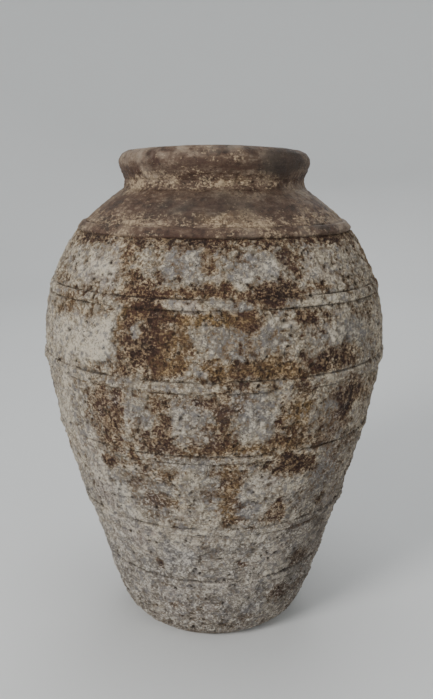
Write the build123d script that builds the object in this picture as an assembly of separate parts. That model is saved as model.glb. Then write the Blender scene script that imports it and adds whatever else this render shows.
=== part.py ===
"""Handleless terracotta storage jar, built up from a floor slab and thrown wall rings.

The rings are stacked with V joints, and a flat clay cordon is wrapped over each joint that shows.
Row frame: millimetres, +Z up, origin at the centre of the underside, jar axis on Z.
Every piece is a body of revolution, so each one is drawn as a half section in the XZ plane.
"""

import os
from math import cos, hypot, radians, sin

from build123d import *

# ---- driving dimensions ----
WALL = 9.0  # wall thickness, measured square to the wall
FLOOR_TOP = 12.0  # upper face of the floor slab
FOOT_RADIUS = 74.0  # flat face that the jar rests on
SLAB_EDGE_MIDDLE = (81.6, 5.2)  # point on the rounded edge of the slab
FLOOR_COIL = 11.0  # how far the corner coil reaches over the floor

TONGUE = 2.4  # depth of the V tongue in each joint
TONGUE_SHARE = 0.5  # share of the wall that the V tongue takes up

CORDON_PROUD = 1.7  # how far a cordon stands out of the wall

HEIGHT = 460.0
MOUTH_RADIUS = 70.0  # clear bore of the neck and lip
BORE_BOTTOM = 421.5
NECK_TOP = (83.8, 434.0)
LIP_UNDERSIDE = (87.5, 441.0)
LIP_RADIUS = 89.8  # widest point of the lip
LIP_ROUND = 12.0  # rounding of the lip's outer top edge

# Joints up the outside of the wall, as (radius, height), from the slab to the neck crease.
JOINTS = [
    (87.8, FLOOR_TOP),
    (109.8, 73.5),
    (129.8, 134.5),
    (150.8, 209.0),
    (161.3, 274.0),
    (153.8, 339.5),
    (125.0, 393.0),
    (84.8, 426.0),
]

# Wall rings from the bottom up: node name, and how far the outside bows out from its chord.
RINGS = [
    ("foot_ring", 2.4),
    ("lower_ring", 0.3),
    ("lower_body_ring", 0.6),
    ("middle_body_ring", 1.0),
    ("belly_ring", 2.9),
    ("upper_body_ring", 2.5),
    ("shoulder_ring", 1.4),
]

# Cordons from the bottom up, one over each joint between two wall rings: node name and height.
CORDONS = [
    ("foot_cordon", 7.6),
    ("lower_cordon", 7.2),
    ("waist_cordon", 6.6),
    ("belly_cordon", 9.6),
    ("upper_cordon", 8.8),
    ("shoulder_cordon", 9.8),
]


# ---- half-section geometry ----
def at(radius, height):
    """A point of the half section."""
    return Vector(radius, 0, height)


def outward(start, end):
    """Unit normal pointing out of the wall, for a chord that runs upwards."""
    run = end[0] - start[0]
    rise = end[1] - start[1]
    length = hypot(run, rise)
    return rise / length, -run / length


def shifted(point, direction, distance):
    return point[0] + direction[0] * distance, point[1] + direction[1] * distance


def bowed_middle(index):
    """Middle of a ring's outside, out from its chord by the ring's bow."""
    start = JOINTS[index]
    end = JOINTS[index + 1]
    halfway = ((start[0] + end[0]) / 2, (start[1] + end[1]) / 2)
    return shifted(halfway, outward(start, end), RINGS[index][1])


MIDDLES = [bowed_middle(index) for index in range(len(RINGS))]


def joint_normal(index):
    """Outward normal of the wall at a joint, from the middles of the rings that meet there."""
    below = MIDDLES[index - 1]
    above = MIDDLES[index] if index < len(MIDDLES) else JOINTS[-1]
    return outward(below, above)


def v_joint(outer, inner):
    """Line of a joint from outside to inside, with a V that points down into the lower piece."""
    start = at(*outer)
    across = at(*inner) - start
    downwards = across.normalized().rotate(Axis.Y, -90)
    root = (1 - TONGUE_SHARE) / 2
    return [
        start,
        start + across * root,
        start + across * 0.5 + downwards * TONGUE,
        start + across * (1 - root),
        at(*inner),
    ]


def section(edges):
    """Face of a half section from its boundary edges."""
    return Face(Wire(edges))


def polyline_edges(points):
    return [Line(a, b) for a, b in zip(points, points[1:])]


# The lowest joint is flat, because the first ring stands on the slab.
FLAT_JOINT_INNER = (JOINTS[0][0] - WALL, FLOOR_TOP)
INNER = [FLAT_JOINT_INNER]
JOINT_LINES = [[at(*JOINTS[0]), at(*FLAT_JOINT_INNER)]]
for joint in range(1, len(JOINTS)):
    INNER.append(shifted(JOINTS[joint], joint_normal(joint), -WALL))
    JOINT_LINES.append(v_joint(JOINTS[joint], INNER[joint]))

NECK_JOINT_LINE = v_joint(NECK_TOP, (MOUTH_RADIUS, NECK_TOP[1]))


# ---- pieces, each as a half section ----
def floor_slab():
    """Round slab with a rounded edge."""
    return section(
        [
            Line(at(0, 0), at(FOOT_RADIUS, 0)),
            ThreePointArc(at(FOOT_RADIUS, 0), at(*SLAB_EDGE_MIDDLE), at(*JOINTS[0])),
            Line(at(*JOINTS[0]), at(0, FLOOR_TOP)),
            Line(at(0, FLOOR_TOP), at(0, 0)),
        ]
    )


def wall_ring(index):
    """Wall ring between two joints, with a bowed outside and an inside parallel to it."""
    normal = outward(JOINTS[index], JOINTS[index + 1])
    inner_middle = shifted(MIDDLES[index], normal, -WALL)
    outside = ThreePointArc(at(*JOINTS[index]), at(*MIDDLES[index]), at(*JOINTS[index + 1]))
    inside = ThreePointArc(at(*INNER[index + 1]), at(*inner_middle), at(*INNER[index]))
    upper_joint = polyline_edges(JOINT_LINES[index + 1])
    lower_joint = polyline_edges(JOINT_LINES[index][::-1])
    return section([outside, *upper_joint, inside, *lower_joint])


def floor_coil(foot_section):
    """Coil pressed into the corner between the floor and the first ring, hollow-faced inside."""
    in_wall = INNER[0][0] + WALL / 2
    up_wall = at(in_wall, FLOOR_TOP + FLOOR_COIL * 1.3)
    on_floor = at(INNER[0][0] - FLOOR_COIL, FLOOR_TOP)
    hollow = at(INNER[0][0] - FLOOR_COIL * 0.15, FLOOR_TOP + FLOOR_COIL * 0.3)
    corner = at(in_wall, FLOOR_TOP)
    blank = section(
        [
            Line(corner, up_wall),
            ThreePointArc(up_wall, hollow, on_floor),
            Line(on_floor, corner),
        ]
    )
    return blank - foot_section


def neck_collar():
    """Short thick neck, bored to the mouth radius and blended into the shoulder inside."""
    bore_start = at(MOUTH_RADIUS, BORE_BOTTOM)
    blend = at(MOUTH_RADIUS + 3.2, BORE_BOTTOM - 2.8)
    return section(
        [
            Line(at(*JOINTS[-1]), at(*NECK_TOP)),
            *polyline_edges(NECK_JOINT_LINE),
            Line(NECK_JOINT_LINE[-1], bore_start),
            ThreePointArc(bore_start, blend, at(*INNER[-1])),
            *polyline_edges(JOINT_LINES[-1][::-1]),
        ]
    )


def quarter_round(centre, radius, start_degrees):
    """Arc of 90 degrees about a centre, counter-clockwise from its start angle."""
    points = []
    for degrees in (start_degrees, start_degrees + 45, start_degrees + 90):
        angle = radians(degrees)
        points.append(at(centre[0] + radius * cos(angle), centre[1] + radius * sin(angle)))
    return ThreePointArc(*points)


def rolled_lip():
    """Thick rounded lip that overhangs the neck outside and carries on its bore inside."""
    crown_radius = LIP_RADIUS - LIP_ROUND
    inner_round = crown_radius - MOUTH_RADIUS
    side_height = HEIGHT - LIP_ROUND
    bore_top = HEIGHT - inner_round
    return section(
        [
            ThreePointArc(at(*NECK_TOP), at(*LIP_UNDERSIDE), at(LIP_RADIUS, side_height)),
            quarter_round((crown_radius, side_height), LIP_ROUND, 0),
            quarter_round((crown_radius, bore_top), inner_round, 90),
            Line(at(MOUTH_RADIUS, bore_top), NECK_JOINT_LINE[-1]),
            *polyline_edges(NECK_JOINT_LINE[::-1]),
        ]
    )


def cordon(joint, height, walls):
    """Flat band with rounded edges, wrapped over a joint and shaped to the rings behind it."""
    normal = joint_normal(joint)
    plane = Plane(origin=at(*JOINTS[joint]), x_dir=(normal[0], 0, normal[1]), z_dir=(0, -1, 0))
    band = plane * RectangleRounded(2 * CORDON_PROUD, height, 0.8 * CORDON_PROUD)
    return band - walls[joint - 1] - walls[joint]


def main():
    os.makedirs("parts", exist_ok=True)
    walls = [wall_ring(index) for index in range(len(RINGS))]
    half_sections = {
        "floor_slab": floor_slab(),
        "floor_coil": floor_coil(walls[0]),
        "neck_collar": neck_collar(),
        "rolled_lip": rolled_lip(),
    }
    for (name, _), wall in zip(RINGS, walls):
        half_sections[name] = wall
    for joint, (name, height) in enumerate(CORDONS, start=1):
        half_sections[name] = cordon(joint, height, walls)
    for name, half_section in half_sections.items():
        export_step(revolve(half_section, axis=Axis.Z), f"parts/{name}.step")


main()
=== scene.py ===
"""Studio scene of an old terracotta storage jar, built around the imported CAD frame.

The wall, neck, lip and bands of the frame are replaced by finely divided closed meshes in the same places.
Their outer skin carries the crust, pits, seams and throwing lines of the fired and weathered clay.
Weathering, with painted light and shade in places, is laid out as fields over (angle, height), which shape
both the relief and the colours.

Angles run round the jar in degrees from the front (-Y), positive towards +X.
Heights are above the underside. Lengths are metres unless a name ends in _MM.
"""

import math

import bpy
import numpy as np
from mathutils import Matrix, Vector


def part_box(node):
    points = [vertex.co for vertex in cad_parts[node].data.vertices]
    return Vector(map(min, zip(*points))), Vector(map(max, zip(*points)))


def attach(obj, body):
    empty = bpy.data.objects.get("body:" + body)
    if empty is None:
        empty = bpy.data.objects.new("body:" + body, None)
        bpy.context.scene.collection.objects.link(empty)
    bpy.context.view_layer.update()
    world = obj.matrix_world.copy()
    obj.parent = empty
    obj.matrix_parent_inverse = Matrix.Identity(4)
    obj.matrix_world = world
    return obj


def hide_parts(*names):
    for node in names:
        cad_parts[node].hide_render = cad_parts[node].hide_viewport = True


MM = 0.001

# ---- pieces of the frame ----
RINGS = [
    "foot_ring",
    "lower_ring",
    "lower_body_ring",
    "middle_body_ring",
    "belly_ring",
    "upper_body_ring",
    "shoulder_ring",
]
CORDONS = ["foot_cordon", "lower_cordon", "waist_cordon", "belly_cordon", "upper_cordon", "shoulder_cordon"]
WALL_NODES = ["floor_slab", *RINGS, "neck_collar", "rolled_lip"]
SMOKED = {"shoulder_ring", "shoulder_cordon", "neck_collar", "rolled_lip"}

# ---- mesh density ----
COLUMNS = 900  # vertices round the jar
SKIN_STEP = 1.1 * MM  # distance between rows on the outer skin
INNER_STEP = 5.0 * MM  # distance between rows on the inside
CORDON_STEP = 0.7 * MM  # mean distance between rows on a band
LEVEL_STEP = 0.5 * MM  # distance between the heights where the inside of the frame is read
SIDE_STEP = 1 * MM  # distance between the heights where the outside of the frame is read
SIDE_START = 0.3 * MM  # lowest height where the outside is read
SPAN_SAMPLES = 80  # heights per wall piece, before it is resampled
LIP_SAMPLES = 90  # heights up the lip
INSIDE_SAMPLES = 40  # heights down the inside of a ring
NECK_INSIDE_ROWS = 8
SLAB_ROWS = 8  # rows on each flat face of the slab
SLAB_HUB, SLAB_EDGE = 0.25, 0.98  # innermost and outermost of those rows, in slab radii

# ---- shape of the skin ----
# how far each band stands out
CORDON_PROUD = {
    "foot_cordon": 1.8 * MM,
    "lower_cordon": 1.8 * MM,
    "waist_cordon": 1.2 * MM,
    "belly_cordon": 2.0 * MM,
    "upper_cordon": 1.5 * MM,
    "shoulder_cordon": 2.0 * MM,
}
CORDON_SUNK = 2.2 * MM  # how deep the back of a band sits in the wall
CORDON_WANDER = 0.5 * MM  # how far the edges of a band wander up and down
CREASE_FILL = 3 * MM  # how far the crease between shoulder and neck is rounded
CREASE_FILL_RISE = 4 * MM  # middle of that rounding, above the crease
CREASE_FILL_SPREAD = 10 * MM  # how far up and down that rounding fades out
RIM_SWELL = 2.6 * MM  # how much higher the rim stands at the front than elsewhere
BORE_WORN = 0.8  # share of the crust that is missing inside the mouth
GROOVE_WIDTH = 1.1 * MM  # grooves beside the bands
CREASE_GROOVE = 0.9 * MM  # depth of the groove in the crease under the neck
CREASE_GROOVE_WIDTH = 1.6 * MM
GROOVE_SHADE = 0.9  # how dark the painted shade in the grooves is
GROOVE_SHADE_WIDTH = 0.8 * MM
THROWING_RISE = 0.10 * MM  # ridges that the potter's fingers left
THROWING_PITCH = 6.5 * MM
INSIDE_RIDGE = 0.5 * MM
INSIDE_PITCH = 13 * MM
FOOT_FADE = 8 * MM  # the relief grows from nothing over this height above the underside

# the bands of the crusted body, and the smoother one on the shoulder
# edge_shade and groove_shade: how dark the painted shade is on a band's rounded edges and in the grooves
# beside it
BODY_BAND = {"lime": 0.04, "crust": 0.9, "edge_shade": 0.7, "groove": 0.9 * MM, "groove_shade": 1.0}
SHOULDER_BAND = {"lime": 0.0, "crust": 0.3, "edge_shade": 0.2, "groove": 0.7 * MM, "groove_shade": 0.6}

# ---- weathering fields, kept as vertex attributes that the materials read; some also carry painted light and shade ----
# lime: cover of white crust, lighter on ridges as painted highlight, with painted light and shade on a few
# patches and near the base.
# ochre: yellow-brown against black-brown clay. tint: pink against blue-grey lime.
# soot_and_shade: smoke, and painted shade low on the right of the foot. pits_and_shade: holes, and painted
# shade in hollows, in the grooves and on the edges of the bands.
# crumbs: raised grains. stain: how far brown clay shows through.
FIELDS = ("lime", "ochre", "tint", "soot_and_shade", "pits_and_shade", "crumbs", "stain")

# ---- weathering up the jar, as (height in mm, value) ----
# lime cover up the jar; its fall below 62 mm towards the underside is partly painted shade near the base
LIME_AND_BASE_SHADE_BY_HEIGHT = [
    (0, 0.52), (30, 0.62), (62, 0.72), (128, 0.72), (142, 0.64), (205, 0.55), (248, 0.56), (262, 0.54),
    (272, 0.6), (300, 0.56), (378, 0.58), (386, 0.36), (394, 0.06), (396.5, 0.1), (398.5, 0.34),
    (401, 0.22), (405, 0.18), (410, 0.0), (421, -0.02), (424, 0.08), (429, 0.16), (435, 0.14), (442, 0.04),
    (460, -0.05),
]
# how strongly bare clay and lime alternate from speck to speck
SPECKLE_BY_HEIGHT = [(0, 0.6), (130, 0.55), (170, 1.0), (460, 1.0)]
# how far the lime is stained by the clay below it
STAIN_BY_HEIGHT = [(0, 0.1), (70, 0.2), (150, 0.5), (210, 0.75), (390, 0.95), (460, 0.5)]
# how rough the crust is
ROUGH_BY_HEIGHT = [
    (0, 0.0), (6, 0.8), (14, 1.0), (385, 1.0), (394, 0.55), (406, 0.55), (412, 0.22), (424, 0.35),
    (430, 0.8), (438, 0.6), (446, 0.28), (460, 0.2),
]

# ---- weathering, as patches: (angle, height in mm, half width in degrees, half height in mm, amount) ----
# lime: positive is white crust, negative is bare clay; a few, marked below, are partly painted light and
# shade. ochre: positive is yellow-brown clay, negative is maroon-black. tint: positive is pink or cream lime,
# negative is blue-grey. soot_and_shade: smoke-blackened, and painted shade low on the right of the foot.
PATCHES = {
    "lime": [
        # between the shoulder band and the upper band
        (-30, 372, 4, 13, -0.45), (-9, 366, 9, 13, 0.28), (0, 370, 3, 16, -0.4), (13, 368, 7, 12, 0.38),
        (26, 371, 1.5, 12, -0.6), (-38, 372, 8, 9, -0.15), (45, 366, 16, 15, 0.12), (46, 351, 3.5, 7, -0.7),
        (34, 348, 4, 4, -0.4), (-63, 350, 8, 9, -0.42), (-40, 356, 8, 10, 0.18), (-50, 385, 22, 3, -0.25),
        (-8, 388, 10, 3, -0.25), (18, 387, 8, 4, -0.35), (45, 386, 16, 3, -0.35), (-50, 364, 10, 12, 0.3),
        (-8, 349, 13, 5, -0.62), (18, 349, 13, 7, -0.8), (-25, 342, 5, 18, -0.52),
        # upper band and the strip below it
        (-12, 338, 9, 4, 0.12), (8, 339, 6, 4, 0.2), (17, 339, 4, 5, -0.6), (25, 339, 5, 4, 0.1),
        (38, 338, 7, 4, 0.25), (-54, 328, 8, 10, -0.42), (-40, 328, 5, 6, -0.3), (-8, 329, 16, 5, -0.75),
        (11, 328, 4, 7, -0.8), (32, 328, 5, 7, -0.75), (22, 325, 4, 6, 0.15),
        # between the upper band and the main band
        # (-70, 290) and (-66, 170), down the left side, are partly white crust and partly painted light on
        # the side the lamp falls on
        (-46, 304, 15, 19, 0.55), (-70, 290, 12, 70, 0.22), (-66, 170, 12, 60, 0.2),
        (-34, 305, 4, 17, 0.52), (-22, 307, 6, 26, -0.7), (-22, 318, 2, 5, 0.95), (-13, 304, 5, 20, -0.36),
        (4, 312, 17, 12, -0.1), (28, 313, 6, 9, 0.05), (46, 310, 11, 13, 0.3), (40, 291, 8, 10, -0.7),
        (38, 290, 1.6, 5, 0.5), (-36, 285, 8, 6, -0.26), (10, 288, 20, 9, -0.75), (-6, 288, 3, 5, 0.65),
        (7, 299, 2, 5, 0.6), (60, 300, 9, 20, 0.1),
        # main band
        (-24, 275, 16, 5, 0.05), (12, 272, 14, 3, -0.35), (49, 278, 6, 3, 0.3),
        # upper part of the body below the main band
        (-54, 240, 11, 30, 0.42), (-34, 240, 7, 28, -0.48), (-24, 247, 4, 12, 0.4),
        (-17, 238, 3, 26, -0.42), (-8, 246, 6, 16, 0.35), (1, 245, 4, 24, -0.43), (13, 246, 6.5, 21, 0.32),
        (25, 242, 6, 26, -0.52), (36, 243, 5, 20, -0.12), (48, 255, 5, 14, -0.7), (45, 236, 4, 13, -0.5),
        (60, 252, 8, 12, -0.35), (10, 219, 26, 7, -0.52), (-33, 217, 8, 8, -0.15), (-8, 208, 6, 6, 0.35),
        # lower part of the body, down to the lower band
        (-45, 190, 7, 26, 0.4), (-36, 197, 2.5, 9, -0.9), (-25, 210, 1.5, 8, -0.8), (-34, 168, 5, 22, 0.4),
        (-24, 175, 4, 25, -0.05), (-16, 190, 6, 6, -0.28), (-16, 180, 3.5, 6, 0.45), (-17, 166, 4, 6, -0.5),
        (-5, 172, 5, 28, 0.15), (5, 174, 4.5, 31, -0.65), (11, 149, 3, 5, -0.6), (16, 184, 4, 11, 0.4),
        (15, 161, 4, 11, 0.25), (28, 201, 8, 11, -0.95), (26, 157, 4.5, 13, -0.8), (32, 172, 4, 18, 0.25),
        (41, 180, 7, 26, 0.05), (46, 153, 3, 7, -0.5), (60, 190, 9, 30, 0.02),
        # foot of the jar
        (-15, 113, 5, 18, 0.3), (-4, 103, 4, 22, -0.05), (-24, 95, 2, 5, -1.0), (8, 97, 1.5, 3, -0.8),
        (46, 88, 6, 8, -0.8), (40, 128, 6, 2, -0.6), (36, 53, 9, 12, -0.5), (-22, 44, 2, 4, -0.8),
        (-8, 56, 1.5, 3, -0.8), (-35, 35, 2.5, 3, -0.4), (-43, 52, 2.5, 3, -0.35), (-24, 70, 4, 4, -0.3),
        # crumbs on the shoulder, in the neck crease and on the lip
        (-30, 403, 14, 5, 0.25), (2, 403, 15, 5, 0.18), (24, 400, 8, 4, 0.25), (48, 403, 14, 5, 0.15),
        (20, 393, 5, 3, 0.4), (-30, 430, 30, 5, 0.34), (8, 432, 11, 4, 0.35), (40, 430, 14, 3, 0.12),
        (-6, 454, 8, 4, 0.15), (6, 450, 8, 5, 0.18), (15, 451, 3, 4, 0.35), (0, 442, 25, 4, 0.06),
        (-60, 428, 14, 5, 0.2), (-28, 437, 24, 5, 0.3),
        # the turn of the foot on both sides: less lime low on the right as painted shade, more on the left as
        # painted light
        (64, 95, 16, 55, -0.2), (-40, 150, 10, 22, 0.2),
    ],
    "ochre": [
        (-29, 312, 2, 24, 0.6), (-13, 305, 5, 18, 0.35), (2, 328, 8, 5, 0.65), (0, 372, 3, 16, 0.35),
        (10, 289, 16, 8, 0.45), (-34, 286, 6, 5, 0.35), (27, 247, 4, 12, 0.65), (1, 250, 4, 16, 0.35),
        (8, 219, 26, 6, 0.25), (-16, 190, 7, 7, 0.45), (-17, 166, 5, 6, 0.4), (5, 178, 4.5, 28, 0.45),
        (-54, 326, 8, 12, 0.25), (8, 433, 10, 5, 0.5), (0, 404, 14, 6, 0.4), (60, 256, 8, 8, 0.3),
        (-22, 300, 5, 22, -0.55), (-24, 345, 5, 12, -0.25), (20, 349, 11, 7, -0.5), (-63, 350, 8, 9, -0.45),
        (11, 328, 4, 7, -0.5), (32, 328, 5, 7, -0.4), (40, 291, 8, 10, -0.4), (28, 201, 8, 11, -0.6),
        (26, 157, 4.5, 13, -0.4), (48, 255, 5, 14, -0.5), (26, 263, 7, 5, -0.45), (-17, 226, 3, 9, -0.3),
        (-36, 197, 3, 9, -0.3), (46, 351, 4, 7, -0.7), (-24, 95, 3, 5, -0.4), (36, 53, 9, 12, 0.1),
        (-33, 452, 4, 7, -0.8), (-4, 443, 26, 5, -0.35), (-16, 452, 9, 6, -0.15), (-52, 441, 12, 4, -0.3),
        (36, 432, 30, 5, -0.15), (-20, 411, 14, 7, -0.35), (-30, 230, 3, 9, -0.3), (-45, 386, 30, 4, -0.35),
        (20, 386, 42, 4, -0.4), (46, 88, 6, 8, -0.3),
    ],
    "tint": [
        (-11, 371, 8, 11, -0.45), (11, 369, 6, 11, -0.45), (6, 311, 15, 11, -0.95),
        (46, 309, 10, 13, -0.55), (7, 339, 8, 4, -0.45), (39, 338, 7, 5, -0.35), (-40, 304, 20, 19, -0.15),
        (12, 246, 6, 20, -0.55), (-24, 247, 4, 12, -0.35), (-34, 168, 5, 22, -0.2), (38, 240, 5, 22, -0.55),
        (42, 176, 8, 28, -0.65), (-15, 113, 5, 18, -0.4), (15, 161, 4, 10, -0.35), (15, 40, 8, 16, -0.45),
        (-5, 172, 5, 28, -0.25), (-40, 356, 8, 10, 0.6), (-45, 190, 7, 30, 0.45), (-46, 155, 6, 16, 0.65),
        (-35, 120, 8, 13, 0.5), (-4, 103, 4, 22, 0.2), (16, 185, 4, 10, 0.35), (25, 105, 16, 20, 0.25),
        (-12, 50, 22, 22, 0.35), (-28, 437, 26, 6, 0.35), (-52, 451, 17, 9, 0.68), (-24, 455, 14, 4, 0.35),
        (2, 455, 12, 4, 0.2), (20, 456, 14, 3, 0.25), (58, 425, 20, 8, 0.5), (64, 393, 16, 5, 0.5),
        (58, 130, 12, 60, 0.3), (-9, 338, 8, 4, 0.35), (45, 366, 16, 15, 0.15), (-54, 240, 11, 30, 0.15),
    ],
    "soot_and_shade": [
        (2, 415, 26, 9, 0.5), (44, 450, 24, 11, 0.85), (-30, 444, 14, 5, 0.25), (-22, 408, 12, 8, 0.35),
        # (58, 72) here and (38, 85) on the next line, low on the right of the foot, are painted shade, not
        # smoke
        (46, 351, 3, 6, 0.5), (62, 150, 14, 60, 0.34), (58, 72, 20, 50, 0.36), (62, 330, 12, 70, 0.06),
        (-5, 413, 50, 10, 0.12), (24, 372, 3, 12, 0.25), (38, 85, 12, 45, 0.26), (43, 155, 11, 26, 0.28),
        (10, 444, 30, 4, 0.15),
    ],
}
LIME_PATCH_SHARE = 0.6
PATCH_STRAY = 13 * MM  # how far the sides of a patch wander
PATCH_STRAY_UP = 0.4  # how far its top and bottom wander, as a share of that
PATCH_SQUARE = 2.5  # 2 would make the patches elliptical, more makes them squarer
PATCH_RAGGED = 0.40  # unevenness of their edges
PIT_FREE = 0.6  # share of the places for a pit that stay empty
# lumps of clay and lime stuck to the wall: (angle, height in mm, radius in mm, rise in mm)
NODULES = [
    (-33, 452, 2.6, 1.3), (-36, 448, 1.8, 0.9), (12, 450, 3.2, 1.5), (9, 453, 1.8, 0.9),
    (-50, 440, 2.2, 1.4), (-29, 440, 1.8, 1.2), (-8, 441, 1.6, 0.8), (20, 439, 1.8, 0.8),
    (4, 432, 3.0, 1.4), (10, 433, 3.4, 1.6), (16, 431, 2.4, 1.2), (-38, 431, 2.4, 1.1),
    (-22, 433, 2.2, 1.0), (38, 430, 2.2, 1.2), (-60, 433, 2.6, 1.4), (58, 432, 2.6, 1.2),
    (-24, 319, 3.0, 1.2), (-21, 313, 2.2, 1.0), (-7, 286, 3.0, 1.0), (8, 297, 2.6, 0.9),
    (-9, 407, 2.6, 1.0), (2, 404, 2.8, 1.0), (-42, 402, 2.2, 0.9), (48, 405, 2.4, 0.8),
    (150, 450, 3.0, 1.4), (200, 434, 2.8, 1.2), (110, 432, 2.4, 1.1), (250, 402, 3.0, 1.0),
    (175, 345, 3.4, 1.2), (225, 240, 3.2, 1.1),
]
# faint ridges left under the lip and on the shoulder, also lightened as painted highlight: (height in mm,
# half height in mm, rise in mm)
RIDGES = [(440.5, 1.0, 0.45), (436.0, 0.9, 0.35), (423.0, 0.9, 0.45), (418.0, 1.2, 0.25), (397.6, 0.8, 0.4)]
BACK_PATCHES = 70  # weathering patches scattered over the side that is turned away
BACK_BARE = 0.55  # share of them that are bare clay
BACK_SEED = 11


# ---- noise ----
def lattice(corners, seed):
    """Repeatable random value from 0 to 1 for whole-number lattice points."""
    x, y, z = (corners[..., k].astype(np.int64).astype(np.uint32) for k in range(3))
    mixed = x * np.uint32(0x8DA6B343) ^ y * np.uint32(0xD8163841) ^ z * np.uint32(0xCB1AB31F)
    mixed ^= np.uint32(seed * 2654435761 & 0xFFFFFFFF)
    mixed = (mixed ^ (mixed >> np.uint32(15))) * np.uint32(0x2C1B3C6D)
    mixed = (mixed ^ (mixed >> np.uint32(12))) * np.uint32(0x297A2D39)
    mixed ^= mixed >> np.uint32(15)
    return mixed.astype(np.float32) / np.float32(0xFFFFFFFF)


OCTAVE_SHIFT = 17.3  # keeps the lattices of two octaves from lining up
NOISE_SPREAD = 1.6  # stretches the sum to about -1 to 1


def noise(points, size, seed, octaves=3, gain=0.5):
    """Layered smooth noise, about -1 to 1, whose largest features are size metres across."""
    total = np.zeros(points.shape[:-1], np.float32)
    amplitude, weight = 1.0, 0.0
    for octave in range(octaves):
        scaled = points / size + OCTAVE_SHIFT * octave
        base = np.floor(scaled)
        part = (scaled - base).astype(np.float32)
        fade = part * part * (3 - 2 * part)
        value = 0.0
        for corner in np.ndindex(2, 2, 2):
            sides = [fade[..., k] if ahead else 1 - fade[..., k] for k, ahead in enumerate(corner)]
            value = value + np.prod(sides, axis=0) * lattice(base + np.array(corner), seed + octave)
        total += amplitude * (2 * value - 1)
        weight += amplitude
        amplitude *= gain
        size *= 0.5
    return total / weight * NOISE_SPREAD


def cells(points, size, seed):
    """(distance to the nearest scattered point in units of size, a random value of that point)."""
    scaled = points / size
    base = np.floor(scaled)
    nearest = np.full(points.shape[:-1], np.inf, np.float32)
    chosen = np.zeros(points.shape[:-1], np.float32)
    for offset in np.ndindex(3, 3, 3):
        cell = base + np.array(offset) - 1
        place = np.stack([lattice(cell, seed + k) for k in range(3)], -1)
        gap = np.linalg.norm(cell + place - scaled, axis=-1).astype(np.float32)
        closer = gap < nearest
        nearest[closer] = gap[closer]
        chosen[closer] = lattice(cell, seed + 3)[closer]
    return nearest, chosen


def smoothstep(low, high, value):
    t = np.clip((value - low) / (high - low), 0, 1)
    return t * t * (3 - 2 * t)


# ---- reading the frame ----
def level_radii(heights, outside):
    """Radius of the CAD wall at each height, where a level ray from outside or from the axis meets it."""
    start, direction = (1.0, Vector((-1, 0, 0))) if outside else (0.0, Vector((1, 0, 0)))
    radii = []
    for height in heights:
        origin = Vector((start, 0, height))
        hits = [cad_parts[node].ray_cast(origin, direction) for node in WALL_NODES]
        places = [place.x for found, place, _, _ in hits if found]
        radii.append(max(places) if outside else min(places))
    return np.array(radii)


def spaced(points, step):
    """A polyline resampled at even steps, with its ends kept."""
    lengths = np.concatenate([[0], np.cumsum(np.linalg.norm(np.diff(points, axis=0), axis=1))])
    count = max(2, round(lengths[-1] / step) + 1)
    places = np.linspace(0, lengths[-1], count)
    return np.stack([np.interp(places, lengths, points[:, k]) for k in range(2)], 1)


def softened(values, reach):
    """Moving average over reach neighbours each side, with the ends kept."""
    padded = np.concatenate([np.full(reach, values[0]), values, np.full(reach, values[-1])])
    smooth = np.convolve(padded, np.ones(2 * reach + 1) / (2 * reach + 1), "valid")
    share = np.clip(np.minimum(np.arange(len(values)), np.arange(len(values))[::-1]) / reach, 0, 1)
    return values + (smooth - values) * share


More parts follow.
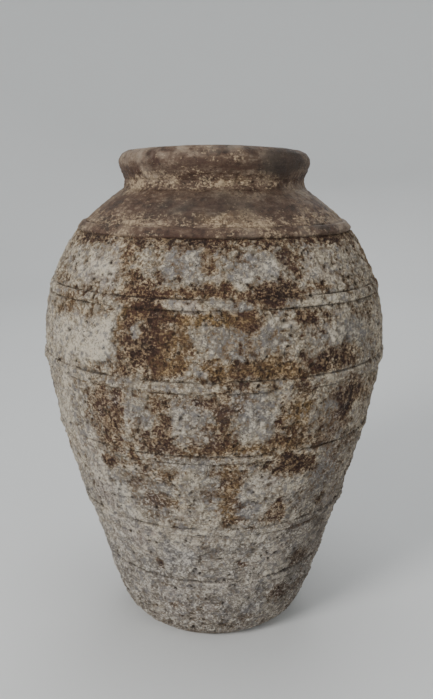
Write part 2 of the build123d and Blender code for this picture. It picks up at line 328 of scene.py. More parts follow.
class Section:
    """Half section of the jar, read from the frame: the outer skin from joint to joint, and the inside."""

    def __init__(self):
        self.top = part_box("rolled_lip")[1].z
        self.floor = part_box("foot_ring")[0].z
        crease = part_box("shoulder_ring")[1].z
        neck_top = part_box("neck_collar")[1].z
        joints = [self.floor]
        for cordon in CORDONS:
            low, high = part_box(cordon)
            joints.append((low.z + high.z) / 2)
        self.joints = [*joints, crease, neck_top]
        self.levels = np.arange(self.floor + LEVEL_STEP, self.top - LEVEL_STEP, LEVEL_STEP)
        self.inside = level_radii(self.levels, False)
        self.spans = self.outer_spans()
        self.path = np.concatenate([span[:-1] for span in self.spans] + [self.spans[-1][-1:]])
        self.fill_crease(crease)
        steps = np.linalg.norm(np.diff(self.path, axis=0), axis=1)
        self.along = np.concatenate([[0], np.cumsum(steps)])
        slope = np.gradient(self.path, axis=0)
        slope /= np.linalg.norm(slope, axis=1)[:, None]
        self.normals = np.stack([softened(slope[:, 1], 2), softened(-slope[:, 0], 2)], 1)
        self.starts = np.cumsum([0] + [len(span) - 1 for span in self.spans])

    def outer_spans(self):
        """Outer skin as one polyline of (radius, height) per piece: slab, rings, neck and lip."""
        side = np.arange(SIDE_START, self.joints[-1], SIDE_STEP)
        body = np.stack([softened(level_radii(side, True), 3), side], 1)
        body = np.vstack([[body[0, 0], 0], body])
        spans = []
        for start, end in zip([0, *self.joints[:-1]], self.joints):
            heights = np.linspace(start, end, SPAN_SAMPLES)
            radii = np.interp(heights, body[:, 1], body[:, 0])
            spans.append(spaced(np.stack([radii, heights], 1), SKIN_STEP))
        spans.append(spaced(self.lip_outline(), SKIN_STEP))
        return spans

    def lip_outline(self):
        """From the neck joint out over the lip and down its bore to the same height."""
        start = self.joints[-1]
        rise = self.top - start
        heights = start + rise * np.sin(np.linspace(0, math.pi / 2, LIP_SAMPLES)[:-1])
        outer = np.stack([level_radii(heights, True), heights], 1)
        inner = np.stack([level_radii(heights, False), heights], 1)[::-1]
        return np.vstack([outer, inner])

    def fill_crease(self, crease):
        """Rounds the crease between shoulder and neck, which clay and crust have filled."""
        above = (self.path[:, 1] - crease - CREASE_FILL_RISE) / CREASE_FILL_SPREAD
        near = np.exp(-(above**2)) * (self.path[:, 0] > self.inside[-1])
        reach = round(CREASE_FILL / SKIN_STEP)
        for axis in range(2):
            full = softened(softened(self.path[:, axis], reach), reach)
            self.path[:, axis] += (full - self.path[:, axis]) * near

    def inner_radius(self, height):
        return np.interp(height, self.levels, self.inside)

    def inner_point(self, joint):
        """Inner corner of a joint, straight in from its outer corner through the wall."""
        row = self.starts[joint + 1]
        outer, normal = self.path[row], self.normals[row]
        thickness = (outer[0] - self.inner_radius(outer[1])) * normal[0]
        height = max(outer[1] - normal[1] * thickness, self.floor)
        return np.array([self.inner_radius(height), height])

    def inner_span(self, lower, upper):
        """Inside of the wall between two joints, from the upper one down."""
        top, bottom = self.inner_point(upper), self.inner_point(lower)
        heights = np.linspace(top[1], bottom[1], INSIDE_SAMPLES)
        return spaced(np.stack([self.inner_radius(heights), heights], 1), INNER_STEP)

    def at(self, along):
        """(radius, height, outward radius, outward height) at places along the outer skin."""
        values = [self.path[:, 0], self.path[:, 1], self.normals[:, 0], self.normals[:, 1]]
        return [np.interp(along, self.along, value) for value in values]


# ---- weathering ----
def by_height(table, height):
    heights, values = zip(*table)
    return np.interp(height / MM, heights, values)


def all_patches():
    """The listed patches of the front, and scattered ones of the same kinds for the back."""
    random = np.random.default_rng(BACK_SEED)
    patches = {kind: list(entries) for kind, entries in PATCHES.items()}
    for _ in range(BACK_PATCHES):
        angle, height = random.uniform(75, 285), random.uniform(30, 380)
        wide, tall = random.uniform(3, 11), random.uniform(6, 24)
        bare = random.random() < BACK_BARE
        amount = random.uniform(0.3, 0.8)
        patches["lime"].append((angle, height, wide, tall, -amount if bare else 0.6 * amount))
        patches["ochre" if bare else "tint"].append((angle, height, wide, tall, random.uniform(-0.7, 0.6)))
    return patches


def patch_field(patches, angle, height, ragged):
    """Sum of the patches at each point. ragged, about -1 to 1, makes their edges uneven."""
    total = np.zeros(angle.shape, np.float32)
    for centre, middle, wide, tall, amount in patches:
        turn = (angle - centre + 180) % 360 - 180
        near = (np.abs(turn) < 2 * wide) & (np.abs(height / MM - middle) < 2 * tall)
        across = np.abs(turn[near]) / wide
        up = np.abs(height[near] / MM - middle) / tall
        distance = (across**PATCH_SQUARE + up**PATCH_SQUARE) ** (1 / PATCH_SQUARE)
        distance = distance + PATCH_RAGGED * ragged[near]
        total[near] += amount * smoothstep(1.55, 0.45, distance)
    return total


def weathering(points, angle, height, lime_extra=0.0):
    """Fields over the skin that both the relief and the materials follow."""
    radius = np.hypot(points[..., 0], points[..., 1])
    ragged = noise(points, 12 * MM, 21, octaves=4, gain=0.6)
    strayed = angle + np.degrees(PATCH_STRAY * noise(points, 22 * MM, 25, octaves=4, gain=0.7) / radius)
    lifted = height + PATCH_STRAY_UP * PATCH_STRAY * noise(points, 22 * MM, 29, octaves=4, gain=0.7)
    patches = {}
    for kind, entries in ALL_PATCHES.items():
        patches[kind] = patch_field(entries, strayed, lifted, ragged)
    contrast = by_height(SPECKLE_BY_HEIGHT, height)
    blotches = noise(points, 26 * MM, 31)
    speckle = noise(points, 9 * MM, 41, gain=0.8)
    grit = noise(points, 3.0 * MM, 51, octaves=2, gain=0.7)
    cover = by_height(LIME_AND_BASE_SHADE_BY_HEIGHT, height) + lime_extra + LIME_PATCH_SHARE * patches["lime"]
    cover = cover + 0.13 * blotches + contrast * (0.27 * speckle + 0.12 * grit)
    pit_gap, pit_luck = cells(points, 6.0 * MM, 61)
    pit_size = 0.14 + 0.40 * np.clip(pit_luck - PIT_FREE, 0, 1)
    pits_and_shade = smoothstep(1.2, 0.5, (pit_gap + 0.12 * grit) / pit_size) * (pit_luck > PIT_FREE)
    rough = by_height(ROUGH_BY_HEIGHT, height)
    # painted shade in the hollows of the crust, where speckle and grit dip
    hollow_shade = 0.45 * smoothstep(0.25, 0.85, -0.6 * speckle - 0.6 * grit) * contrast
    crumbs = smoothstep(0.15, 0.65, noise(points, 4.2 * MM, 71, octaves=2, gain=0.8))
    return {
        "lime": cover,
        "ochre": patches["ochre"] + 0.30 * blotches + 0.30 * speckle,
        "tint": patches["tint"] + 0.45 * blotches + 0.15 * speckle,
        "stain": np.clip(by_height(STAIN_BY_HEIGHT, height) + 0.35 * blotches + 0.25 * speckle, 0, 1),
        "soot_and_shade": np.clip(patches["soot_and_shade"] * (1 + 0.5 * speckle), 0, 1),
        "pits_and_shade": np.maximum(pits_and_shade, hollow_shade) * rough,
        "crumbs": crumbs * rough,
        "blotches": blotches,
        "speckle": speckle,
        "grit": grit,
    }


def lumps(points):
    """Slow unevenness of the hand-made wall, in metres."""
    return 0.7 * MM * noise(points, 110 * MM, 81, octaves=2) + 0.25 * MM * noise(points, 34 * MM, 82)


def crust(fields, height):
    """Relief of the crust and clay above the plain wall, in metres."""
    rough = by_height(ROUGH_BY_HEIGHT, height)
    lime = smoothstep(0.2, 0.7, fields["lime"])
    layer = lime * (0.7 + 0.25 * fields["blotches"])
    grain = 0.60 * fields["speckle"] + 0.35 * fields["grit"] + 0.85 * fields["crumbs"]
    return MM * rough * (layer + grain - 0.9 * fields["pits_and_shade"] - 0.55)


def stuck_lumps(angle, height, radius):
    """Rise of the single lumps stuck to the wall, in metres."""
    rise = np.zeros(angle.shape, np.float32)
    for centre, middle, reach, high in NODULES:
        turn = np.radians((angle - centre + 180) % 360 - 180) * radius / MM
        gap = np.hypot(turn, height / MM - middle) / reach
        rise = np.maximum(rise, high * MM * smoothstep(1.2, 0.2, gap))
    return rise


def faint_ridges(height, points):
    """Rise of the level ridges of smeared clay, broken here and there, in metres."""
    present = smoothstep(-0.4, 0.2, noise(points, 26 * MM, 141))
    rise = 0.0
    for middle, half, high in RIDGES:
        rise = rise + high * MM * np.exp(-(((height / MM - middle) / half) ** 2))
    return rise * present


def throwing_lines(along, points):
    """Fine level ridges that the potter's fingers left, from -1 to 1."""
    return np.sin(2 * math.pi * along / THROWING_PITCH + 2.2 * noise(points, 70 * MM, 91, octaves=2))


def groove_share(points, low):
    """How far the grooves beside the bands are open, from 0 where they are filled to 1."""
    return smoothstep(low, 0.15, noise(points, 30 * MM, 111))


# ---- grids and meshes ----
TURN = np.arange(COLUMNS) * 2 * math.pi / COLUMNS


def revolve(radius, height):
    """Grid of points for rows of (radius, height), each either one value or one per column."""
    return np.stack(np.broadcast_arrays(radius * np.sin(TURN), -radius * np.cos(TURN), height), -1)


def row_angles(rows):
    return np.broadcast_to(np.degrees(TURN), (rows, COLUMNS))


def loop_mesh(name, rows, flat_bands, inner_rows, fields):
    """Closed ring mesh from a loop of rows. flat_bands are the strips that are joint faces."""
    count = len(rows)
    index = np.arange(count * COLUMNS).reshape(count, COLUMNS)
    ahead = np.roll(index, -1, axis=0)
    corners = [index, np.roll(index, -1, axis=1), np.roll(ahead, -1, axis=1), ahead]
    quads = np.stack(corners, -1).reshape(-1, 4)
    strip = np.repeat(np.arange(count), COLUMNS)
    smooth = ~np.isin(strip, flat_bands)
    material = np.isin(strip, inner_rows).astype(np.int32)
    return build_mesh(name, rows.reshape(-1, 3), quads, smooth, material, fields)


def build_mesh(name, points, faces, smooth, material, fields):
    """Mesh object from equal-sided faces, with the weathering fields as vertex attributes."""
    sides = faces.shape[1]
    mesh = bpy.data.meshes.new(name)
    mesh.vertices.add(len(points))
    mesh.vertices.foreach_set("co", points.astype(np.float32).ravel())
    mesh.loops.add(faces.size)
    mesh.loops.foreach_set("vertex_index", faces.astype(np.int32).ravel())
    mesh.polygons.add(len(faces))
    mesh.polygons.foreach_set("loop_start", np.arange(0, faces.size, sides, dtype=np.int32))
    mesh.update(calc_edges=True)
    mesh.polygons.foreach_set("use_smooth", smooth)
    mesh.polygons.foreach_set("material_index", material)
    for field in FIELDS:
        layer = mesh.attributes.new(field, "FLOAT", "POINT")
        layer.data.foreach_set("value", fields[field].astype(np.float32).ravel())
    mesh.validate()
    item = bpy.data.objects.new(name, mesh)
    bpy.context.scene.collection.objects.link(item)
    return item


def padded(fields, first, last, rows, before=0):
    """The fields of skin rows first to last, with zeros for the rest of a piece's rows."""
    result = {name: np.zeros((rows, COLUMNS), np.float32) for name in FIELDS}
    for name in FIELDS:
        result[name][before : before + last + 1 - first] = fields[name][first : last + 1]
    return result


def dress(piece, node, *materials):
    """Gives a piece its materials and its place in the frame."""
    for material in materials:
        piece.data.materials.append(material)
    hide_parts(node)
    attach(piece, "root")
    return piece


def skin():
    """The whole outer skin: displaced points and fields, row by row from the underside to the bore."""
    radius, height = section.path[:, :1], section.path[:, 1:]
    base = revolve(radius, height)
    angle = row_angles(len(base))
    heights = np.broadcast_to(height, angle.shape)
    fields = weathering(base, angle, heights)
    along = section.along[:, None]
    inside_lip = smoothstep(0, 1, (along - crown_along) / (6 * MM))
    rise = lumps(base) + crust(fields, heights) * (1 - BORE_WORN * inside_lip)
    rise = rise + THROWING_RISE * throwing_lines(along, base) * (1 - inside_lip)
    bumps = (stuck_lumps(angle, heights, radius) + faint_ridges(heights, base)) * (1 - inside_lip)
    rise = rise + bumps
    # lighter where ridges and lumps stand out: painted highlight along the ridges, and the lime of the stuck
    # lumps
    fields["lime"] = fields["lime"] + 0.30 * smoothstep(0.2 * MM, 0.8 * MM, bumps)
    open_groove = groove_share(base, -0.6)
    for cordon in CORDONS:
        centre, half = cordon_place(cordon)
        edge = np.abs(np.abs(along - centre - cordon_wander(cordon, base)) - half)
        rise = rise - band_look(cordon)["groove"] * open_groove * np.exp(-((edge / GROOVE_WIDTH) ** 2))
    from_crease = (along - crease_along) / CREASE_GROOVE_WIDTH
    rise = rise - CREASE_GROOVE * open_groove * np.exp(-(from_crease**2))
    rise = rise * smoothstep(0, FOOT_FADE, heights)
    swell = RIM_SWELL * np.clip(np.cos(TURN), 0, 1) ** 2 * smoothstep(neck_along, crown_along, along)
    swell = swell * smoothstep(section.along[-1], crown_along, along)
    # painted shade in the grooves beside the bands
    fields["pits_and_shade"] = np.maximum(fields["pits_and_shade"], groove_shade(along, base))
    normal = section.normals
    points = revolve(radius + normal[:, :1] * rise, height + normal[:, 1:] * rise + swell)
    return points, fields


def band_look(name):
    return SHOULDER_BAND if name == "shoulder_cordon" else BODY_BAND


def cordon_place(name):
    """(place along the outer skin, half width) of a band, read from the frame."""
    joint = section.starts[CORDONS.index(name) + 2]
    normal = section.normals[joint]
    tangent = np.array([-normal[1], normal[0]])
    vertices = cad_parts[name].data.vertices
    points = np.empty(len(vertices) * 3)
    vertices.foreach_get("co", points)
    x, y, z = points.reshape(-1, 3).T
    reach = (np.stack([np.hypot(x, y), z], 1) - section.path[joint]) @ tangent
    return section.along[joint] + (reach.max() + reach.min()) / 2, (reach.max() - reach.min()) / 2


def cordon_wander(name, points):
    """How far a band has wandered up or down its place."""
    level = points * np.array([1, 1, 0])
    seed = 101 + 3 * CORDONS.index(name)
    return CORDON_WANDER * (noise(level, 90 * MM, seed, octaves=2) + 0.5 * noise(level, 14 * MM, seed + 1))


def groove_shade(along, points):
    """Painted shade in the grooves beside the bands, here and there."""
    patchy = groove_share(points, -0.55)
    dirt_and_shade = 0.0
    for cordon in CORDONS:
        centre, half = cordon_place(cordon)
        edge = np.abs(np.abs(along - centre - cordon_wander(cordon, points)) - half - 0.2 * MM)
        share = band_look(cordon)["groove_shade"]
        dirt_and_shade = np.maximum(dirt_and_shade, share * np.exp(-((edge / GROOVE_SHADE_WIDTH) ** 2)) * patchy)
    return GROOVE_SHADE * dirt_and_shade


def make_wall(name, first, last, inner, points, fields):
    """A wall piece from rows first to last of the skin, and the rows of its inside from the top down."""
    outer = points[first : last + 1]
    rows = np.concatenate([outer, inner])
    joint_faces = [len(outer) - 1, len(rows) - 1]
    inside = np.arange(len(outer) - 1, len(rows))
    piece = loop_mesh(name + "_clay", rows, joint_faces, inside, padded(fields, first, last, len(rows)))
    return dress(piece, name, smoked_clay if name in SMOKED else crusted_clay, bare_clay)


def make_ring(number, points, fields):
    """A wall ring, with the potter's finger ridges inside."""
    path = section.inner_span(number, number + 1)
    plain = revolve(path[:, :1], path[:, 1:])
    turns = 2 * math.pi * path[:, 1:] / INSIDE_PITCH
    ridge = INSIDE_RIDGE * np.sin(turns + noise(plain, 80 * MM, 121, octaves=2))
    ridge = ridge + INSIDE_RIDGE * noise(plain, 30 * MM, 122)
    ridge[[0, -1]] = 0
    inner = revolve(path[:, :1] + ridge, path[:, 1:])
    first, last = section.starts[number + 1], section.starts[number + 2]
    return make_wall(RINGS[number], first, last, inner, points, fields)


def make_neck(points, fields):
    """The neck, between the crease and the lip."""
    top, bottom = section.path[-1], section.inner_point(len(RINGS))
    heights = np.linspace(top[1], bottom[1], NECK_INSIDE_ROWS)
    inner = revolve(section.inner_radius(heights)[:, None], heights[:, None])
    inner[0] = points[-1]
    return make_wall("neck_collar", section.starts[-3], section.starts[-2], inner, points, fields)


def make_lip(points, fields):
    """The lip, whose skin runs over the top and down the bore."""
    first = section.starts[-2]
    rows = points[first:]
    part = {key: value[first:] for key, value in fields.items()}
    piece = loop_mesh("rolled_lip_clay", rows, [len(rows) - 1], [], part)
    return dress(piece, "rolled_lip", smoked_clay, bare_clay)


def make_slab(points, fields):
    """The floor slab, as a disc with a crusted edge."""
    outer = points[: section.starts[1] + 1]
    floor = section.floor
    rim = section.path[section.starts[1], 0]
    outwards = np.linspace(SLAB_HUB, SLAB_EDGE, SLAB_ROWS)[:, None]
    inwards = np.linspace(SLAB_EDGE, SLAB_HUB, SLAB_ROWS)[:, None]
    under = revolve(outwards * section.path[0, 0], np.zeros((SLAB_ROWS, 1)))
    over = revolve(inwards * rim, np.full((SLAB_ROWS, 1), floor))
    rows = np.concatenate([under, outer, over])
    count = len(rows)
    index = np.arange(count * COLUMNS).reshape(count, COLUMNS)
    low, high = index[:-1], index[1:]
    quads = np.stack([low, np.roll(low, -1, 1), np.roll(high, -1, 1), high], -1).reshape(-1, 4)
    centres = np.array([[0, 0, 0], [0, 0, floor]])
    bottom, top = count * COLUMNS, count * COLUMNS + 1
    first, last = index[0], index[-1]
    centre = np.ones(COLUMNS // 2, int)
    fan_low = np.stack([centre * bottom, np.roll(first[0::2], -1), first[1::2], first[0::2]], -1)
    fan_high = np.stack([centre * top, last[0::2], last[1::2], np.roll(last[0::2], -1)], -1)
    faces = np.concatenate([quads, fan_low, fan_high])
    strip = np.concatenate([np.repeat(np.arange(count - 1), COLUMNS), np.full(COLUMNS, -1)])
    skin_strip = (strip >= len(under)) & (strip < len(under) + len(outer) - 1)
    part = padded(fields, 0, len(outer) - 1, count, before=len(under))
    part = {key: np.append(value, [0, 0]) for key, value in part.items()}
    material = (~skin_strip).astype(np.int32)
    points = np.concatenate([rows.reshape(-1, 3), centres])
    piece = build_mesh("floor_slab_clay", points, faces, skin_strip, material, part)
    return dress(piece, "floor_slab", crusted_clay, bare_clay)


def make_cordon(name):
    """A flat band with rounded edges, sunk a little into the wall and following its unevenness."""
    look = band_look(name)
    centre, half = cordon_place(name)
    steps = round(2 * half / CORDON_STEP)
    across = np.sin(np.linspace(-math.pi / 2, math.pi / 2, steps))[:, None]
    radius, height, _, _ = section.at(centre + across * half)
    plain = revolve(radius, height)
    along = centre + across * half + cordon_wander(name, plain)
    radius, height, out, up = section.at(along)
    base = revolve(radius, height)
    fields = weathering(base, row_angles(steps), height, look["lime"])
    swell = 0.9 + 0.45 * noise(base, 34 * MM, 131)
    face = CORDON_PROUD[name] * swell * np.sqrt(np.clip(1 - across**6, 0, 1))
    relief = crust(fields, height) * look["crust"] + lumps(base)
    edge = np.clip((1 - np.abs(across)) * 6, 0, 1)
    rise = face + relief * edge + lumps(base) * (1 - edge) - 0.6 * MM * (1 - edge)
    # painted shade on the rounded edges of the band, where it turns down to the wall
    rim = 1 - np.clip((1 - np.abs(across)) * 9, 0, 1)
    fields["pits_and_shade"] = np.maximum(fields["pits_and_shade"], look["edge_shade"] * rim)
    skin_rows = revolve(radius + out * rise, height + up * rise)
    radius, height, out, up = section.at(along[[-1, 0]])
    sunk = lumps(revolve(radius, height)) - CORDON_SUNK
    back_rows = revolve(radius + out * sunk, height + up * sunk)
    rows = np.concatenate([skin_rows, back_rows])
    hidden = [len(skin_rows) - 1, len(skin_rows), len(skin_rows) + 1]
    piece = loop_mesh(name + "_clay", rows, hidden, [], padded(fields, 0, steps - 1, len(rows)))
    return dress(piece, name, smoked_clay if name in SMOKED else crusted_clay)


# ---- materials ----
class Nodes:
    """Short way to write a material's node tree."""

    def __init__(self, name):
        self.material = bpy.data.materials.new(name)
        self.material.use_nodes = True
        self.tree = self.material.node_tree
        self.shader = self.tree.nodes["Principled BSDF"]
        coordinates = self.tree.nodes.new("ShaderNodeTexCoord")
        self.place = coordinates.outputs["Object"]

    def feed(self, socket, value):
        if isinstance(value, bpy.types.NodeSocket):
            self.tree.links.new(value, socket)
        else:
            socket.default_value = value

    def field(self, name):
        node = self.tree.nodes.new("ShaderNodeAttribute")
        node.attribute_name = name
        return node.outputs["Fac"]

    def noise(self, size, detail=3.0, roughness=0.6, stretch=None):
        """Noise from 0 to 1 with features about size metres across."""
        node = self.tree.nodes.new("ShaderNodeTexNoise")
        node.inputs["Scale"].default_value = 1 / size
        node.inputs["Detail"].default_value = detail
        node.inputs["Roughness"].default_value = roughness
        place = self.place
        if stretch:
            mapping = self.tree.nodes.new("ShaderNodeMapping")
            mapping.inputs["Scale"].default_value = stretch
            self.feed(mapping.inputs["Vector"], place)
            place = mapping.outputs["Vector"]
        self.feed(node.inputs["Vector"], place)
        return node.outputs["Fac"]

    def maths(self, operation, first, second=0.0):
        node = self.tree.nodes.new("ShaderNodeMath")
        node.operation = operation
        self.feed(node.inputs[0], first)
        self.feed(node.inputs[1], second)
        return node.outputs["Value"]

    def plus(self, first, second):
        return self.maths("ADD", first, second)

    def times(self, first, second):
        return self.maths("MULTIPLY", first, second)

    def ranged(self, value, low, high, to_low=0.0, to_high=1.0):
        """Value carried from the range low..high to the range to_low..to_high, and held there."""
        node = self.tree.nodes.new("ShaderNodeMapRange")
        limits = {"From Min": low, "From Max": high, "To Min": to_low, "To Max": to_high}
        self.feed(node.inputs["Value"], value)
        for key, limit in limits.items():
            self.feed(node.inputs[key], limit)
        return node.outputs["Result"]

    def swing(self, noise, amount):
        """A noise as a value from -amount to amount."""
        return self.ranged(noise, 0.3, 0.7, -amount, amount)

    def ramp(self, value, *stops):
        """Colour ramp from (place, colour) stops, its two ends first."""
        node = self.tree.nodes.new("ShaderNodeValToRGB")
        elements = node.color_ramp.elements
        for number, (place, colour) in enumerate(stops):
            element = elements[number] if number < 2 else elements.new(place)
            element.position = place
            element.color = (*colour, 1)
        self.feed(node.inputs["Fac"], value)
        return node.outputs["Color"]

    def mix(self, share, first, second, blend="MIX"):
        node = self.tree.nodes.new("ShaderNodeMix")
        node.data_type = "RGBA"
        node.blend_type = blend
        for key, value in ((0, share), (6, first), (7, second)):
            self.feed(node.inputs[key], (*value, 1) if isinstance(value, tuple) else value)
        return node.outputs[2]

    def finish(self, colour, roughness, bump_height, bump_depth):
        bump = self.tree.nodes.new("ShaderNodeBump")
        bump.inputs["Distance"].default_value = bump_depth
        bump.inputs["Strength"].default_value = 0.8
        self.feed(bump.inputs["Height"], bump_height)
        self.feed(self.shader.inputs["Normal"], bump.outputs["Normal"])
        self.feed(self.shader.inputs["Base Color"], colour)
        self.feed(self.shader.inputs["Roughness"], roughness)
        self.shader.inputs["Specular IOR Level"].default_value = 0.25
        return self.material


def linear(red, green, blue):
    """Linear colour from 0 to 255 display values, all above 10."""
    return tuple(((value / 255 + 0.055) / 1.055) ** 2.4 for value in (red, green, blue))


CLAY_BLACK = linear(47, 35, 31)
CLAY_MAROON = linear(77, 54, 47)
CLAY_BROWN = linear(94, 73, 54)
CLAY_OCHRE = linear(137, 114, 80)
LIME_STAINED = linear(122, 104, 84)
# grey of painted shade between the raised grains of clean lime
LIME_SHADE = linear(98, 90, 84)
LIME_BLUE = linear(120, 117, 117)
LIME_GREY = linear(143, 135, 124)
LIME_PINK = linear(154, 145, 141)
# white of thick lime, also used for painted highlights on raised grains
LIME_WHITE_AND_HIGHLIGHT = linear(206, 200, 192)
LIME_CREAM = linear(166, 147, 121)
CRUMB = linear(206, 197, 183)
CRUMB_BROWN = linear(186, 162, 130)
# dark of dirt, and of painted shade in hollows and grooves
DIRT_AND_SHADE = linear(42, 32, 26)
# smoke, also used for painted shade low on the right of the foot
SOOT_AND_SHADE = linear(54, 46, 41)
SMOKED_DARK = linear(58, 46, 38)
SMOKED_BROWN = linear(84, 65, 53)
SMOKED_TAN = linear(98, 80, 66)
SMOKED_GREY = linear(128, 112, 96)
SMOKED_CREAM = linear(158, 144, 128)
SMOKED_RED = linear(66, 45, 36)
BARE_BROWN = linear(104, 74, 58)
BARE_LIGHT = linear(158, 116, 90)
BARE_SPECK = linear(84, 58, 46)
STAIN_TINGE = (1.0, 0.95, 0.84)  # what full stain multiplies the colours by


def clay_colour(nodes, ochre, speck):
    """Bare clay between black-maroon and yellow ochre."""
    shade = nodes.plus(nodes.ranged(ochre, -1, 1), nodes.swing(speck, 0.3))
    return nodes.ramp(shade, (0.10, CLAY_BLACK), (0.95, CLAY_OCHRE), (0.36, CLAY_MAROON), (0.62, CLAY_BROWN))


def make_crusted_clay():
    """White to blue-grey lime crust over rust-brown clay, pitted, cracked and specked, with painted
    highlights on its raised grains and painted shade in its hollows and grooves.
    """
    nodes = Nodes("crusted_clay")
    lime, stain = nodes.field("lime"), nodes.field("stain")
    fine = nodes.noise(1.3 * MM, 2)
    mid = nodes.noise(3.6 * MM, 5, 0.7)
    coarse = nodes.noise(12 * MM)
    spots = nodes.noise(6.5 * MM, 4, 0.65, (1.1, 1.0, 1.1))
    light = nodes.noise(2.3 * MM, 4, 0.7, (1.0, 1.0, 1.2))
    dark = nodes.noise(2.9 * MM, 4, 0.7, (1.3, 1.3, 1.0))

    # clay, then stained lime, then a film of lime, then thick white lime
    clay = clay_colour(nodes, nodes.field("ochre"), light)
    tint = nodes.plus(nodes.field("tint"), nodes.swing(coarse, 0.35))
    film = nodes.ramp(nodes.ranged(tint, -1, 1), (0.2, LIME_BLUE), (0.85, LIME_PINK), (0.5, LIME_GREY))
    strength = nodes.ranged(stain, 0.1, 0.6, 0.5, 1.0)
    cover = nodes.plus(lime, nodes.times(nodes.ranged(mid, 0.25, 0.75, -0.54, 0.54), strength))
    cover = nodes.plus(cover, nodes.swing(fine, 0.12))
    colour = nodes.mix(nodes.ranged(cover, 0.22, 0.42), clay, LIME_STAINED)
    colour = nodes.mix(nodes.ranged(cover, 0.40, 0.62), colour, film)
    colour = nodes.mix(nodes.ranged(cover, 0.74, 1.04), colour, LIME_WHITE_AND_HIGHLIGHT)

    # crumbs of lime, fewer where the film is blue
    cluster = nodes.swing(nodes.noise(9 * MM, 3), 0.09)
    light, dark = nodes.plus(light, cluster), nodes.plus(dark, cluster)
    busy = nodes.ranged(nodes.field("tint"), -0.7, 0.0, 0.45, 1.0)
    crumb = nodes.plus(nodes.ranged(light, 0.51, 0.62), nodes.ranged(nodes.field("crumbs"), 0, 1, 0, 0.45))
    crumb = nodes.times(nodes.ranged(crumb, 0.25, 1.0), nodes.ranged(lime, 0.0, 0.5, 0.5, 0.95))
    crumb_colour = nodes.mix(nodes.ranged(lime, 0.1, 0.6), CRUMB_BROWN, CRUMB)
    colour = nodes.mix(nodes.times(crumb, busy), colour, crumb_colour)
    colour = nodes.mix(stain, colour, STAIN_TINGE, "MULTIPLY")

    # painted highlights as white specks on the raised grains and painted shade as grey specks between them,
    # where the lime is clean, and blue-grey spots where it is thick
    clean = nodes.ranged(stain, 0.6, 0.15, 0.0, 0.75)
    colour = nodes.mix(nodes.times(nodes.ranged(light, 0.55, 0.62), clean), colour, LIME_WHITE_AND_HIGHLIGHT)
    colour = nodes.mix(nodes.times(nodes.ranged(light, 0.47, 0.40), clean), colour, LIME_SHADE)
    bruise = nodes.times(nodes.ranged(spots, 0.53, 0.60), 0.75)
    colour = nodes.mix(nodes.times(bruise, nodes.ranged(lime, 0.4, 0.7)), colour, LIME_BLUE)

    # dirt and painted shade in pits, hollows and grooves, dark specks in the dips of the bump that are partly
    # painted shade, hairline cracks, then smoke and the painted shade low on the right of the foot
    # dark specks where the dark noise, which also lowers the bump, dips: partly dirt, partly painted shade in
    # the hollows
    dirt_and_shade = nodes.times(nodes.ranged(dark, 0.47, 0.37), nodes.ranged(lime, 0.35, 0.7, 1.0, 0.35))
    thick_dirt = nodes.times(nodes.ranged(spots, 0.42, 0.36), nodes.ranged(lime, 0.8, 1.1, 0, 0.5))
    dirt_and_shade = nodes.times(nodes.plus(nodes.field("pits_and_shade"), nodes.plus(dirt_and_shade, thick_dirt)), busy)
    gap = nodes.maths("ABSOLUTE", nodes.maths("SUBTRACT", coarse, 0.5))
    crack = nodes.times(nodes.ranged(gap, 0.014, 0.004), nodes.ranged(mid, 0.45, 0.6))
    dirt_and_shade = nodes.ranged(nodes.plus(dirt_and_shade, crack), 0.0, 1.0)
    colour = nodes.mix(nodes.times(dirt_and_shade, 0.9), colour, DIRT_AND_SHADE)
    # smoke, and painted shade low on the right of the foot
    colour = nodes.mix(nodes.times(nodes.field("soot_and_shade"), 0.8), colour, SOOT_AND_SHADE)
    roughness = nodes.ranged(cover, 0, 1, 0.8, 0.95)
    height = nodes.plus(nodes.times(light, 1.5), nodes.times(dark, 1.5))
    return nodes.finish(colour, roughness, height, 2.2 * MM)


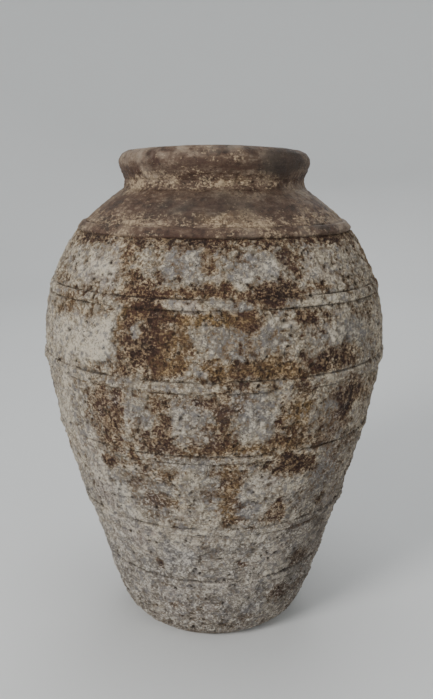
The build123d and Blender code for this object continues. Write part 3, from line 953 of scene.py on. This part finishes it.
def make_smoked_clay():
    """Smooth smoke-browned clay of the shoulder, neck and lip, with cream crumbs where lime has caught, and
    painted shade in its pits, hollows and grooves.
    """
    nodes = Nodes("smoked_clay")
    ochre = nodes.field("ochre")
    fine = nodes.noise(1.5 * MM, 2)
    mid = nodes.noise(5 * MM, 6, 0.75)
    light = nodes.noise(2.6 * MM, 5, 0.75, (0.8, 0.8, 1.4))
    dark = nodes.noise(2.8 * MM, 5, 0.75, (0.9, 0.9, 1.3))
    clouds = nodes.noise(26 * MM, 5, 0.65, (1.0, 1.0, 2.4))
    streaks = nodes.noise(9 * MM, 3, stretch=(1, 1, 5))
    shade = nodes.plus(nodes.ranged(clouds, 0.3, 0.7), nodes.swing(streaks, 0.18))
    shade = nodes.plus(shade, nodes.swing(mid, 0.42))
    clay = nodes.ramp(
        shade, (0.05, SMOKED_DARK), (0.95, SMOKED_GREY), (0.4, SMOKED_BROWN), (0.65, SMOKED_TAN)
    )
    clay = nodes.mix(nodes.ranged(nodes.field("tint"), 0.1, 1.0, 0.0, 0.85), clay, SMOKED_CREAM)
    clay = nodes.mix(nodes.ranged(ochre, 0.1, 0.9, 0.0, 0.5), clay, CLAY_OCHRE)
    clay = nodes.mix(nodes.ranged(ochre, -0.1, -0.8, 0.0, 0.8), clay, SMOKED_RED)
    cover = nodes.plus(nodes.field("lime"), nodes.ranged(light, 0.25, 0.75, -0.6, 0.6))
    cover = nodes.plus(cover, nodes.swing(fine, 0.28))
    colour = nodes.mix(nodes.ranged(cover, 0.28, 0.62, 0.0, 0.9), clay, LIME_CREAM)
    # pits, painted shade in hollows and grooves, and dark specks where the bump dips, partly painted shade
    dirt_and_shade = nodes.plus(nodes.field("pits_and_shade"), nodes.ranged(dark, 0.44, 0.36, 0.0, 0.8))
    colour = nodes.mix(nodes.times(nodes.ranged(dirt_and_shade, 0.0, 1.0), 0.8), colour, DIRT_AND_SHADE)
    colour = nodes.mix(nodes.times(nodes.field("soot_and_shade"), 0.85), colour, SOOT_AND_SHADE)
    roughness = nodes.ranged(clouds, 0.3, 0.7, 0.55, 0.75)
    height = nodes.plus(nodes.plus(light, dark), streaks)
    return nodes.finish(colour, roughness, height, 0.7 * MM)


def make_bare_clay():
    """Unglazed clay inside and underneath."""
    nodes = Nodes("bare_clay")
    fine, clouds = nodes.noise(1.5 * MM, 3), nodes.noise(45 * MM, 4)
    clay = nodes.ramp(nodes.ranged(clouds, 0.3, 0.7), (0.1, BARE_BROWN), (0.9, BARE_LIGHT))
    clay = nodes.mix(nodes.ranged(fine, 0.55, 0.75, 0.0, 0.5), clay, BARE_SPECK)
    return nodes.finish(clay, nodes.ranged(fine, 0.3, 0.7, 0.82, 0.95), fine, 0.4 * MM)


# ---- studio ----
STAGE_RADIUS = 3.0
COVE_RADIUS = 0.9  # rounding between floor and wall
STAGE_HEIGHT = 3.6
STAGE_HUB = 0.05  # radius of the flat disc in the middle of the floor
STAGE_SIDES = 96
COVE_ROWS = 16
STAGE_COLOUR = (0.72, 0.73, 0.73)
SKY_COLOUR = (0.9, 0.95, 1.0)
SKY_STRENGTH = 0.35
# lamps: name, place, diameter, power, colour
LAMPS = [
    ("key", (-1.5, -1.7, 1.35), 0.8, 46, (1.0, 0.985, 0.96)),
    ("fill", (1.7, -1.6, 0.9), 1.6, 9, (1.0, 0.98, 0.95)),
    ("top", (0.0, 0.3, 2.6), 1.8, 16, (1, 1, 1)),
    ("back", (0.4, 2.2, 1.5), 1.5, 12, (1, 1, 1)),
]
LAMP_TARGET = 0.55  # height that the lamps point at, in jar heights
CAMERA_DISTANCE = 1.6073  # from the jar's axis, in jar heights
CAMERA_HEIGHT = 0.9598  # above the underside, in jar heights
CAMERA_PITCH = math.radians(13.18)
CAMERA_YAW = math.radians(-0.19)
CAMERA_ROLL = math.radians(0.2)
LENS_MM = 39.33
SENSOR_MM = 36


def make_stage():
    """Round pale floor that curves up into a pale wall on every side."""
    cove = np.linspace(0, math.pi / 2, COVE_ROWS)
    radii = [STAGE_HUB, *(STAGE_RADIUS - COVE_RADIUS + COVE_RADIUS * np.sin(cove)), STAGE_RADIUS]
    heights = [0.0, *(COVE_RADIUS * (1 - np.cos(cove))), STAGE_HEIGHT]
    turns = np.arange(STAGE_SIDES) * 2 * math.pi / STAGE_SIDES
    points = [(r * math.cos(a), r * math.sin(a), h) for r, h in zip(radii, heights) for a in turns]
    faces = [tuple(range(STAGE_SIDES))]
    for row in range(len(radii) - 1):
        low, high = row * STAGE_SIDES, (row + 1) * STAGE_SIDES
        for column in range(STAGE_SIDES):
            beside = (column + 1) % STAGE_SIDES
            faces.append((low + column, low + beside, high + beside, high + column))
    mesh = bpy.data.meshes.new("studio_floor")
    mesh.from_pydata(points, [], faces)
    mesh.shade_smooth()
    floor = bpy.data.objects.new("studio_floor", mesh)
    bpy.context.scene.collection.objects.link(floor)
    nodes = Nodes("studio_floor")
    nodes.shader.inputs["Base Color"].default_value = (*STAGE_COLOUR, 1)
    nodes.shader.inputs["Roughness"].default_value = 0.9
    mesh.materials.append(nodes.material)


def make_lamp(name, place, target, size, power, colour):
    light = bpy.data.lights.new(name, "AREA")
    light.shape = "DISK"
    light.size = size
    light.energy = power
    light.color = colour
    lamp = bpy.data.objects.new(name, light)
    lamp.location = place
    lamp.rotation_euler = (Vector(target) - Vector(place)).to_track_quat("-Z", "Y").to_euler()
    bpy.context.scene.collection.objects.link(lamp)


def make_studio(height):
    make_stage()
    for name, place, size, power, colour in LAMPS:
        make_lamp(name, place, (0, 0, LAMP_TARGET * height), size, power, colour)
    world = bpy.data.worlds.new("studio")
    world.use_nodes = True
    background = world.node_tree.nodes["Background"]
    background.inputs["Color"].default_value = (*SKY_COLOUR, 1)
    background.inputs["Strength"].default_value = SKY_STRENGTH
    bpy.context.scene.world = world


def make_camera(height):
    data = bpy.data.cameras.new("camera")
    data.lens = LENS_MM
    data.sensor_width = SENSOR_MM
    data.clip_start = 0.05
    camera = bpy.data.objects.new("camera", data)
    bpy.context.scene.collection.objects.link(camera)
    turn = Matrix.Rotation(CAMERA_YAW, 4, "Z")
    tilt = Matrix.Rotation(math.pi / 2 - CAMERA_PITCH, 4, "X")
    roll = Matrix.Rotation(CAMERA_ROLL, 4, "Z")
    place = Matrix.Translation((0, -CAMERA_DISTANCE * height, CAMERA_HEIGHT * height))
    camera.matrix_world = place @ turn @ tilt @ roll
    bpy.context.scene.camera = camera


# ---- build ----
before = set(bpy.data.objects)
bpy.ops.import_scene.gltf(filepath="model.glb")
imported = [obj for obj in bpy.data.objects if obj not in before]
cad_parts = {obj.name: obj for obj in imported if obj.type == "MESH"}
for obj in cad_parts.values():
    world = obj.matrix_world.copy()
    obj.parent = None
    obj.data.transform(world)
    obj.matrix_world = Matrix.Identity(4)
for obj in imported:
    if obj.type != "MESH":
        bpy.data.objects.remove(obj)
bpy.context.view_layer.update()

section = Section()
crown_along = section.along[np.argmax(section.path[:, 1])]
crease_along = section.along[section.starts[-3]]
neck_along = section.along[section.starts[-2]]
ALL_PATCHES = all_patches()

crusted_clay = make_crusted_clay()
smoked_clay = make_smoked_clay()
bare_clay = make_bare_clay()

skin_points, skin_fields = skin()
make_slab(skin_points, skin_fields)
for number in range(len(RINGS)):
    make_ring(number, skin_points, skin_fields)
make_neck(skin_points, skin_fields)
make_lip(skin_points, skin_fields)
for cordon in CORDONS:
    make_cordon(cordon)
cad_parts["floor_coil"].data.materials.clear()
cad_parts["floor_coil"].data.materials.append(bare_clay)

make_studio(section.top)
make_camera(section.top)
